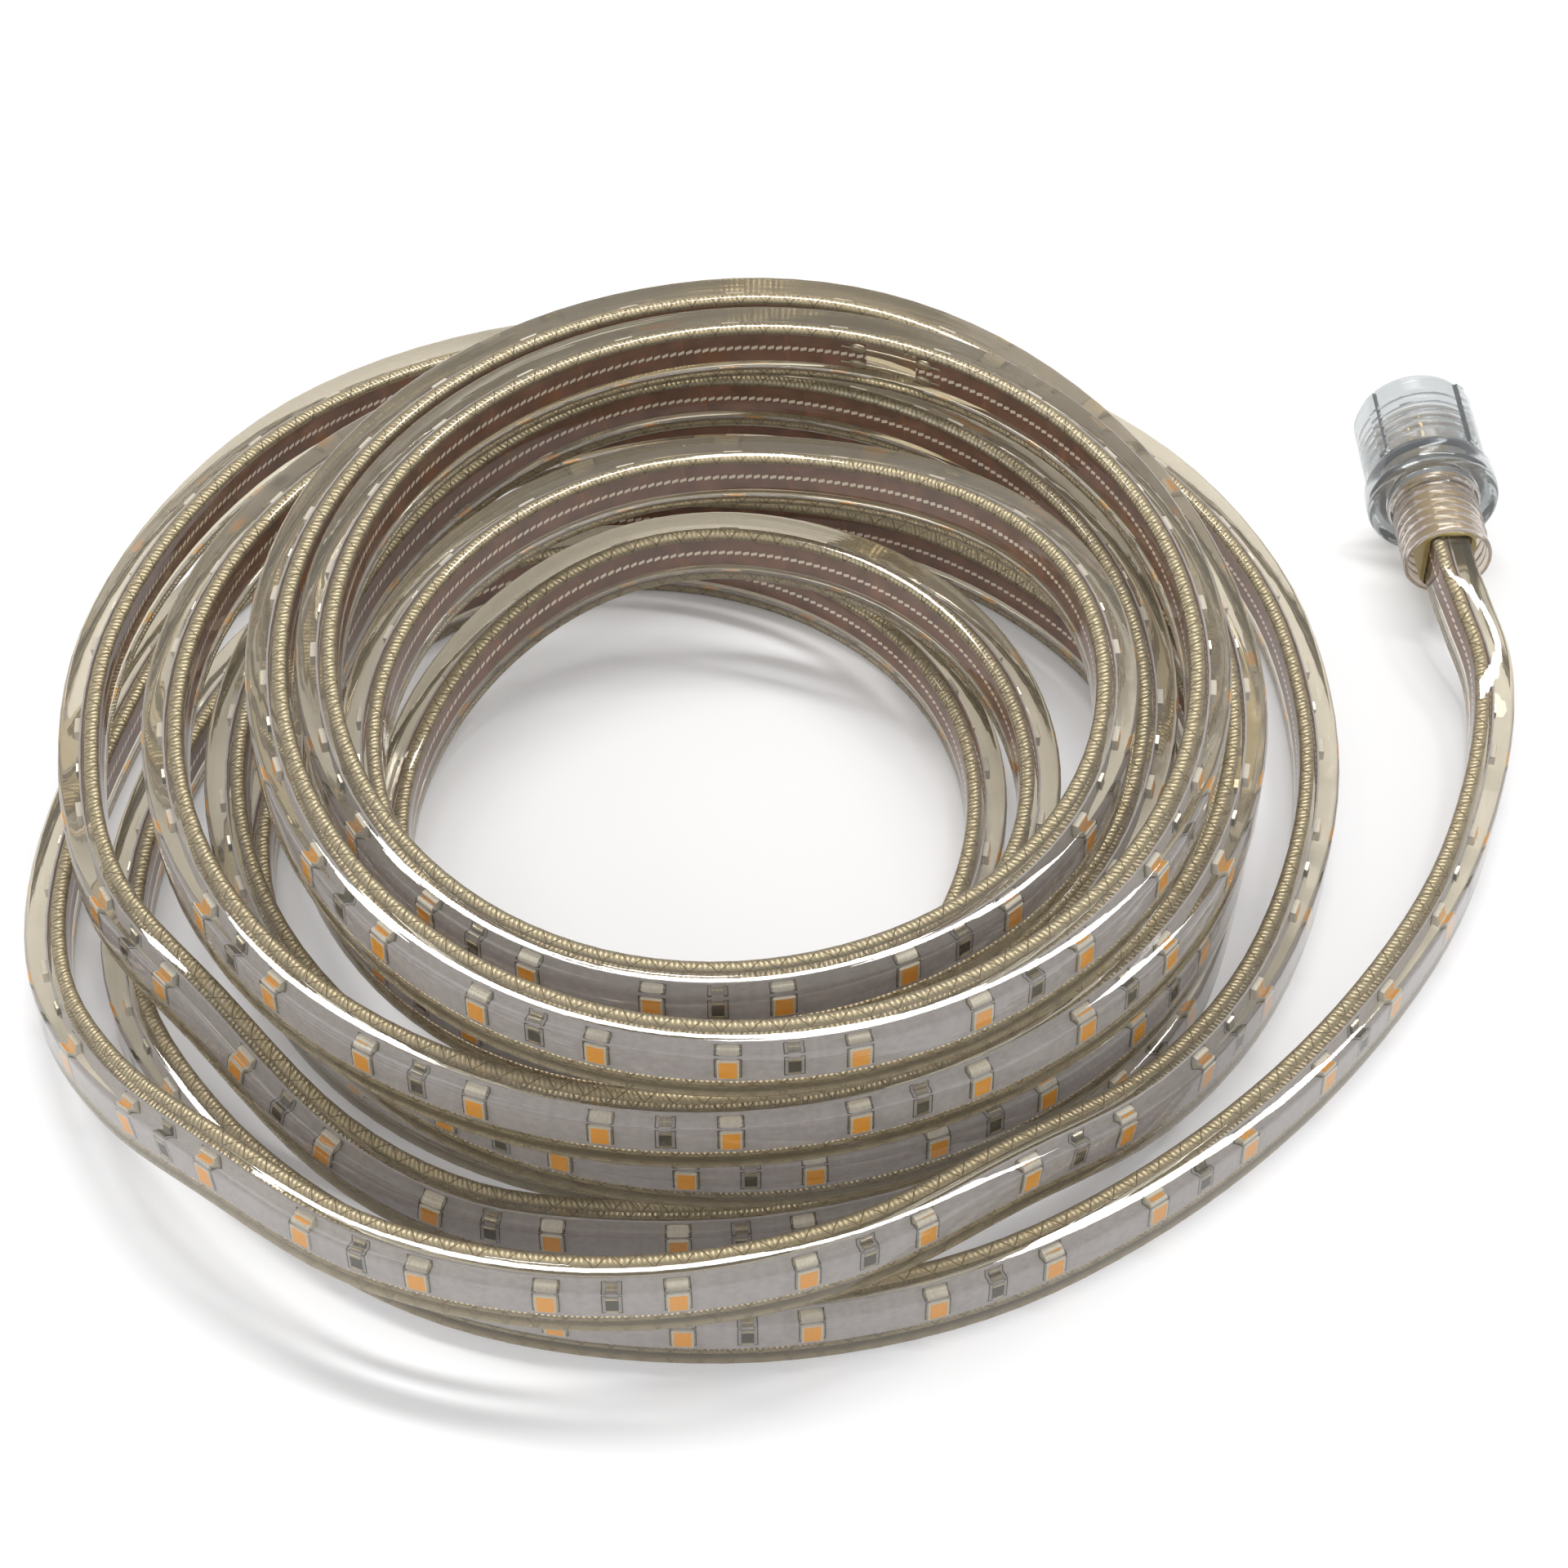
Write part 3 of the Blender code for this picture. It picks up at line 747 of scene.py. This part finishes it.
class STRIP_OT_stage(bpy.types.Operator):
    """Adds the pale floor, the soft studio light and the camera"""

    bl_idname = "strip.stage"
    bl_label = "Stage"

    def execute(self, context):
        middle = route_shift()
        camera = bpy.data.cameras.new("camera")
        camera.lens = CAMERA_LENS
        camera.sensor_width = CAMERA_SENSOR
        camera.clip_start = 0.01
        view = bpy.data.objects.new("camera", camera)
        tilt = math.radians(CAMERA_TILT)
        view.location = middle + Vector((0, -math.cos(tilt), math.sin(tilt))) * CAMERA_AWAY
        view.rotation_euler = (math.pi / 2 - tilt, 0, 0)
        context.scene.collection.objects.link(view)
        context.scene.camera = view
        self.floor()
        self.light(context, "key", *KEY_LIGHT)
        self.light(context, "fill", *FILL_LIGHT)
        world = bpy.data.worlds.new("studio")
        world.use_nodes = True
        sky = world.node_tree.nodes["Background"]
        sky.inputs["Color"].default_value = (1, 1, 1, 1)
        sky.inputs["Strength"].default_value = SKY_STRENGTH
        context.scene.world = world
        context.scene.view_settings.view_transform = "Standard"
        return {"FINISHED"}

    def floor(self):
        work = bmesh.new()
        bmesh.ops.create_grid(work, x_segments=1, y_segments=1, size=FLOOR_HALF)
        paper, _, shader = new_material("white_paper_sweep", linear("#fbfbfb"), 0.9)
        shader.inputs["Specular IOR Level"].default_value = 0.1
        floor = finish_mesh("floor", work, [paper])

    def light(self, context, name, place, size, power):
        lamp = bpy.data.lights.new(name, "AREA")
        lamp.shape = "RECTANGLE"
        lamp.size, lamp.size_y = size
        lamp.energy = power
        obj = bpy.data.objects.new(name, lamp)
        obj.location = place
        obj.rotation_euler = (-Vector(place)).to_track_quat("-Z", "Y").to_euler()
        context.scene.collection.objects.link(obj)


class STRIP_OT_jacket(bpy.types.Operator):
    """Sweeps the clear jacket along the strip's route. It closes tightly round the circuit, so that no
    air shows in it"""

    bl_idname = "strip.jacket"
    bl_label = "Jacket"

    def execute(self, context):
        sizes, colours = context.scene.strip_sizes, context.scene.strip_colours
        route = scene_route()
        work = bmesh.new()
        section = rounded(
            sizes.thickness / 2, sizes.height / 2, CORNER * MM, CROWN * MM, SWELL * MM, SECTION_STEP * MM
        )
        add_sweep(work, route, section)
        jacket = finish_mesh("clear_jacket", work, [clear_pvc(colours)])
        let_light_in(jacket)
        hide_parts("pvc_jacket")
        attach(jacket, STRIP_BODY)
        return {"FINISHED"}


class STRIP_OT_wires(bpy.types.Operator):
    """Lays the two stranded supply wires in the jacket's edges"""

    bl_idname = "strip.wires"
    bl_label = "Supply wires"

    def execute(self, context):
        sizes, colours = context.scene.strip_sizes, context.scene.strip_colours
        copper = stranded_copper(colours)
        for label, up in (("upper", sizes.wire_up), ("lower", -sizes.wire_up)):
            work = bmesh.new()
            section = oval(
                WIRE_PLACE * MM, up, WIRE_FLATNESS * sizes.wire_radius, sizes.wire_radius, WIRE_POINTS
            )
            add_sweep(work, scene_route(), section, 1)
            wire = finish_mesh("supply_wire_" + label, work, [copper])
            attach(wire, STRIP_BODY)
        return {"FINISHED"}


class STRIP_OT_circuit(bpy.types.Operator):
    """Makes the flexible circuit strip, pale outwards and copper-brown inwards"""

    bl_idname = "strip.circuit"
    bl_label = "Circuit"

    def execute(self, context):
        sizes, colours = context.scene.strip_sizes, context.scene.strip_colours
        half = sizes.film_height / 2
        front = FILM_FRONT * MM
        back = front - sizes.film_thick
        section = [(back, -half), (front, -half), (front, half), (back, half)]
        slots = [0, 0, 0, 1]
        route = scene_route()
        ends = [min(range(len(route.run)), key=lambda i: abs(route.run[i] - at * MM)) for at in JOINT]
        work = bmesh.new()
        add_sweep(work, route, section, 1, ends[0] + 1, slots)
        add_sweep(work, route, section, ends[1], None, slots)
        film = finish_mesh("circuit_film", work, [solder_mask(colours), laminate_back(colours)])
        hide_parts("circuit_strip")
        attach(film, STRIP_BODY)
        self.joint(route, ends, back, colours)
        return {"FINISHED"}

    def joint(self, route, ends, back, colours):
        """Two tinned leads across the gap between the circuit's lengths, soldered down at both ends."""
        work = bmesh.new()
        place = back - LEAD_BACK * MM
        for up in (LEAD_UP * MM, -LEAD_UP * MM):
            lead = oval(place, up, LEAD_RADIUS * MM, LEAD_RADIUS * MM, LEAD_POINTS)
            add_sweep(work, route, lead, ends[0] - 1, ends[1] + 2)
            for index, slip in ((ends[0], -LUMP_SLIP), (ends[1], LUMP_SLIP)):
                along, out, upward = route.frames[index]
                axes = Matrix((along * LUMP[0], out * LUMP[1], upward * LUMP[2])).transposed().to_4x4()
                spot = route.line[index] + along * slip * MM + out * place + upward * up
                bmesh.ops.create_icosphere(
                    work, subdivisions=3, radius=MM, matrix=Matrix.Translation(spot) @ axes
                )
        made = finish_mesh("joint_leads", work, [tinned_metal(colours)])
        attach(made, STRIP_BODY)


def add_block(work, frame_at, low, high, slot, chamfer=0.0):
    """A box from corner low to high along (along, out, up), its outer face drawn in by the chamfer."""
    point, along, out, up = frame_at
    corners = []
    for step, shrink in ((low[1], 0.0), (high[1] - chamfer, 0.0), (high[1], chamfer)):
        for x, z in ((low[0], low[2]), (high[0], low[2]), (high[0], high[2]), (low[0], high[2])):
            x -= math.copysign(shrink, x - (low[0] + high[0]) / 2)
            z -= math.copysign(shrink, z - (low[2] + high[2]) / 2)
            corners.append(work.verts.new(point + along * x + out * step + up * z))
    rings = [corners[0:4], corners[4:8], corners[8:12]]
    faces = [list(reversed(rings[0])), rings[2]]
    for under, over in zip(rings, rings[1:]):
        for side in range(4):
            after = (side + 1) % 4
            faces.append([under[side], under[after], over[after], over[side]])
    for face in faces:
        work.faces.new(face).material_index = slot


class STRIP_OT_lamps(bpy.types.Operator):
    """Solders a lamp to the circuit at every pitch and a resistor in every second gap"""

    bl_idname = "strip.lamps"
    bl_label = "Lamps and resistors"

    def execute(self, context):
        sizes, colours = context.scene.strip_sizes, context.scene.strip_colours
        route = scene_route()
        lamps, resistors = bmesh.new(), bmesh.new()
        count = int((route.length - sizes.first - BARE_END * MM) / sizes.pitch)
        for number in range(count):
            place = route.at(sizes.first + number * sizes.pitch)
            self.lamp(lamps, place)
            if number % 2 == 0:
                place = route.at(sizes.first + (number + 0.5) * sizes.pitch)
                self.resistor(resistors, place)
        self.finish("lamps", lamps, (lamp_housing, phosphor, tinned_metal, legend_ink), colours)
        self.finish("resistors", resistors, (resistor_body, tinned_metal, legend_ink), colours)
        return {"FINISHED"}

    def finish(self, name, work, looks, colours):
        made = finish_mesh(name, work, [look(colours) for look in looks], smooth=False)
        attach(made, STRIP_BODY)

    def lamp(self, work, place):
        """A housing with its window, a solder end at either side, and the marks round them."""
        for slot, (low, high, chamfer) in enumerate((HOUSING, WINDOW)):
            self.part(work, place, low, high, slot, chamfer)
        for side in (-1, 1):
            self.part(work, place, (side * 1.3, 0, -1.25), (side * 1.62, 0.2, 1.25), 2, 0.05)
            self.bracket(work, place, side, 1.6, 3)

    def resistor(self, work, place):
        low, high, chamfer = RESISTOR
        self.part(work, place, low, high, 0, chamfer)
        for side in (-1, 1):
            self.part(work, place, (-0.8, 0, side * 1.1), (0.8, 0.44, side * 1.6), 1, 0.05)
            self.bracket(work, place, side, 1.2, 2)

    def bracket(self, work, place, side, reach, slot):
        """A printed corner bracket beside a lamp or resistor."""
        tall, outer = BRACKET_TALL, side * (reach + BRACKET_LINE)
        self.part(work, place, (side * reach, 0, -tall), (outer, INK, tall), slot)
        for end in (-1, 1):
            low = (side * (reach - BRACKET_ARM), 0, end * (tall - BRACKET_LINE))
            self.part(work, place, low, (outer, INK, end * tall), slot)

    def part(self, work, place, low, high, slot, chamfer=0.0):
        """A block on the film, from corner low to high along, out and up, in mm."""
        spans = [sorted(pair) for pair in zip(low, high)]
        corners = [[span[end] * MM for span in spans] for end in (0, 1)]
        for corner in corners:
            corner[1] += FILM_FRONT * MM
        add_block(work, place, corners[0], corners[1], slot, chamfer * MM)


class STRIP_OT_cap(bpy.types.Operator):
    """Moulds the cap over the strip's hidden end"""

    bl_idname = "strip.cap"
    bl_label = "End cap"

    def execute(self, context):
        route = scene_route()
        place = frame_on(route.line[0], (route.line[0] - route.line[1]).normalized())
        rings = [
            box_ring(3.15, 5.15, 0.2, 0.9), box_ring(3.2, 5.2, -9.3, 1.0), box_ring(3.35, 5.35, -9.65, 1.1),
            box_ring(3.6, 5.6, -9.6, 1.4), box_ring(3.78, 5.78, -9.3, 1.5), box_ring(3.78, 5.78, -8.2, 1.5),
            box_ring(3.6, 5.6, -7.9, 1.4), box_ring(3.6, 5.6, -0.4, 1.4), box_ring(3.78, 5.78, 0, 1.5),
            box_ring(3.78, 5.78, 1.9, 1.5), box_ring(3.6, 5.6, 2.7, 1.5), box_ring(3.2, 5.2, 3.1, 1.4),
            box_ring(2.6, 4.6, 3.28, 1.2),
        ]
        beige = beige_body(context.scene.strip_colours)
        finish_turned("moulded_end_cap", rings, beige, place, STRIP_BODY, "end_cap")
        return {"FINISHED"}


class STRIP_OT_connector(bpy.types.Operator):
    """Moulds the connector's body with its insert, contact carrier, pins and seal ring"""

    bl_idname = "strip.connector"
    bl_label = "Connector"

    def execute(self, context):
        colours, place = context.scene.strip_colours, plug_place()
        body = self.body(colours, place)
        let_light_in(body)
        amber = amber_resin(colours)
        rings = [
            box_ring(3.15, 5.15, 9.45, 0.8), box_ring(3.1, 5.1, 1.2, 0.8), box_ring(3.25, 5.25, 0.2, 0.9),
            box_ring(4.0, 5.6, 0.12, 2.8), box_ring(4.18, 5.78, 0.4, 3.0), box_ring(4.18, 5.78, 10.7, 3.0),
            box_ring(3.95, 5.55, 11.05, 2.8),
        ]
        finish_turned("amber_insert", rings, amber, place, STRIP_BODY, "strip_insert")
        profile = [(4.5, 13.52), (4.68, 13.7), (4.68, 21.6), (4.4, 21.98), (3.9, 21.98)]
        finish_turned(
            "contact_carrier_moulding", lathe(profile, 64), amber, place, STRIP_BODY,
            "contact_carrier",
        )
        brass = plated_brass(colours)
        profile = [(0.5, 10.02), (0.59, 10.15), (0.59, 25.9), (0.55, 26.4), (0.4, 26.8), (0.15, 26.99)]
        for label, up in (("upper", PIN_UP), ("lower", -PIN_UP)):
            lift = place @ Matrix.Translation((0, up * MM, 0))
            finish_turned(
                "turned_pin_" + label, lathe(profile, 24), brass, lift, STRIP_BODY,
                "contact_pin_" + label,
            )
        profile = [
            (6.95, 17.55), (6.95, 19.25), (7.8, 19.28), (8.2, 19.15), (8.38, 18.9), (8.2, 18.6),
            (7.8, 18.45), (7.8, 18.35), (8.2, 18.2), (8.38, 17.9), (8.2, 17.65), (7.8, 17.52),
        ]
        seal = seal_rubber(colours)
        finish_turned("rubber_seal", lathe(profile), seal, place, STRIP_BODY, "seal_ring", True)
        return {"FINISHED"}

    def body(self, colours, place):
        """The sleeve from its mouth, over the flange and the land, to the threaded rear and its lip."""
        profile = [
            (4.98, 13.2), (5.0, 13.5), (5.0, 28.7), (5.3, 28.98), (6.3, 28.98), (6.58, 28.6),
            (BODY_RADIUS, 17.4), (6.75, 17.15), (8.1, 17.15), (8.28, 16.95), (8.28, 15.75), (8.1, 15.55),
            (7.3, 15.5), (7.18, 15.3), (7.18, 12.4), (7.0, 12.22), (BODY_RADIUS, 12.2),
        ]
        height = 12.1
        while height > BODY_THREAD[0]:
            profile.append((BODY_RADIUS, height))
            height -= 0.19
        profile += [
            (BODY_RADIUS, 1.4), (6.8, 1.2), (6.98, 0.95), (6.98, 0.35), (6.75, 0.05), (6.4, 0.02),
            (6.2, 0.2), (6.2, 11.4), (6.0, 11.6),
        ]
        rings = lathe(profile, swell=self.thread)
        look = beige_body(colours)
        return finish_turned("connector_body", rings, look, place, STRIP_BODY, "plug_body")

    def thread(self, angle, radius, height):
        """A rounded thread ridge that climbs round the body behind the collar and fades at both ends."""
        start, end = BODY_THREAD
        if not start < height < end or radius != BODY_RADIUS:
            return 0.0
        fade = min(1.0, (height - start) / 0.8, (end - height) / 0.8)
        return BODY_RIDGE * fade * ridge(height / BODY_PITCH + angle / 360)


class STRIP_OT_collar(bpy.types.Operator):
    """Moulds the clear screw collar, with its ribs outside and its thread inside"""

    bl_idname = "strip.collar"
    bl_label = "Screw collar"

    def execute(self, context):
        colours = context.scene.strip_colours
        profile = [
            (7.32, 12.75), (7.45, 12.62), (9.3, 12.62), (9.9, 12.8), (10.3, 13.2), (10.46, 13.8),
            (10.46, 16.9), (10.3, 17.4), (9.95, 17.8), (9.72, 18.2),
        ]
        height = 18.6
        while height < 32.2:
            profile.append((COLLAR_RADIUS, height))
            height += 0.4
        profile += [
            (COLLAR_RADIUS, 32.4), (9.55, 32.6), (9.2, 32.65), (9.18, 33.3), (9.1, 33.55), (8.95, 33.58),
        ]
        height = 33.4
        while height > 15.0:
            profile.append((COLLAR_BORE, height))
            height -= 0.2
        profile += [(COLLAR_BORE, 14.95), (7.4, 14.9), (7.3, 14.8)]
        rings = lathe(profile, 180, self.ribs_and_thread)
        collar = finish_turned(
            "screw_collar_moulding", rings, clear_nylon(colours), plug_place(), COLLAR_BODY,
            "screw_collar", True,
        )
        let_light_in(collar)
        return {"FINISHED"}

    def ribs_and_thread(self, angle, radius, height):
        """The thread inwards from the bore, and the four grip ribs outwards from the wall."""
        if radius == COLLAR_BORE and COLLAR_THREAD[0] < height < COLLAR_THREAD[1]:
            return -COLLAR_RIDGE * ridge(height / COLLAR_PITCH - angle / 360)
        if radius != COLLAR_RADIUS or not RIBS[0] < height < RIBS[1]:
            return 0.0
        turned = min(abs((angle - rib + 180) % 360 - 180) for rib in RIB_ANGLES)
        off = turned * math.radians(1) * RIB_ARC
        return RIB_HEIGHT * max(0.0, min(1.0, (RIB_HALF - off) / SLOPE))


OPERATORS = (
    STRIP_OT_stage, STRIP_OT_jacket, STRIP_OT_wires, STRIP_OT_circuit, STRIP_OT_lamps, STRIP_OT_cap,
    STRIP_OT_connector, STRIP_OT_collar,
)


class STRIP_PT_panel(bpy.types.Panel):
    """Sizes, colours and the steps that build the strip light"""

    bl_idname = "STRIP_PT_panel"
    bl_label = "Strip light"
    bl_space_type = "VIEW_3D"
    bl_region_type = "UI"
    bl_category = "Strip light"

    def draw(self, context):
        for group in (context.scene.strip_sizes, context.scene.strip_colours):
            for name in group.bl_rna.properties.keys():
                if name not in ("rna_type", "name"):
                    self.layout.prop(group, name)
        for operator in OPERATORS:
            self.layout.operator(operator.bl_idname)


CLASSES = (StripSizes, StripColours, *OPERATORS, STRIP_PT_panel)


def register():
    for cls in CLASSES:
        bpy.utils.register_class(cls)
    bpy.types.Scene.strip_sizes = bpy.props.PointerProperty(type=StripSizes)
    bpy.types.Scene.strip_colours = bpy.props.PointerProperty(type=StripColours)


def unregister():
    del bpy.types.Scene.strip_colours
    del bpy.types.Scene.strip_sizes
    for cls in reversed(CLASSES):
        bpy.utils.unregister_class(cls)


def main():
    register()
    for operator in OPERATORS:
        group, name = operator.bl_idname.split(".")
        getattr(getattr(bpy.ops, group), name)()


if __name__ == "__main__":
    main()
